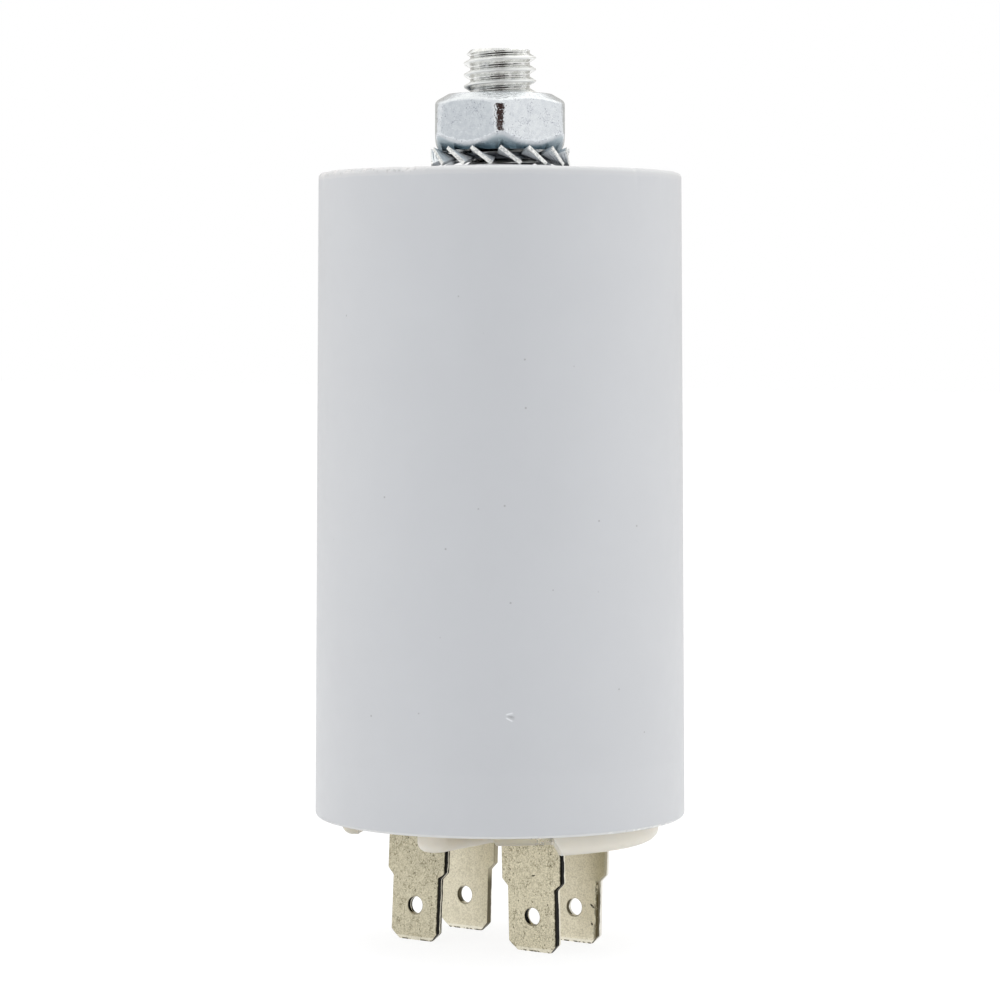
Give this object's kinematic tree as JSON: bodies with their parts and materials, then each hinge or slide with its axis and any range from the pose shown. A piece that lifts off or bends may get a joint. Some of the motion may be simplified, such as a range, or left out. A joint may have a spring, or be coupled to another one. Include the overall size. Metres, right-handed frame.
{
  "type": "motor-run capacitor",
  "caption": "Round motor-run capacitor: a moulded plastic can with a threaded mounting stud, nut and tooth lock washer at one end and blade-tab terminals at the other.",
  "frame": {"origin": "on the stud's axis, at the level of the case's flat end face", "axes": "+Z along the stud, away from the case; X along the width of the blade tabs; Y along the barrier between the two terminals"},
  "size_m": [0.0404, 0.0404, 0.0972],
  "materials": {
    "case_plastic": "fine satin",
    "lid_plastic": "satin",
    "tinned_brass": "dull tinned",
    "zinc_steel": "zinc plated"
  },
  "bodies": {
    "root": {"case": "case_plastic", "lid": "lid_plastic", "terminal_left": "tinned_brass", "terminal_right": "tinned_brass", "rivets": "tinned_brass", "stud": "zinc_steel", "lock_washer": "zinc_steel", "nut": "zinc_steel"}
  },
  "joints": []
}
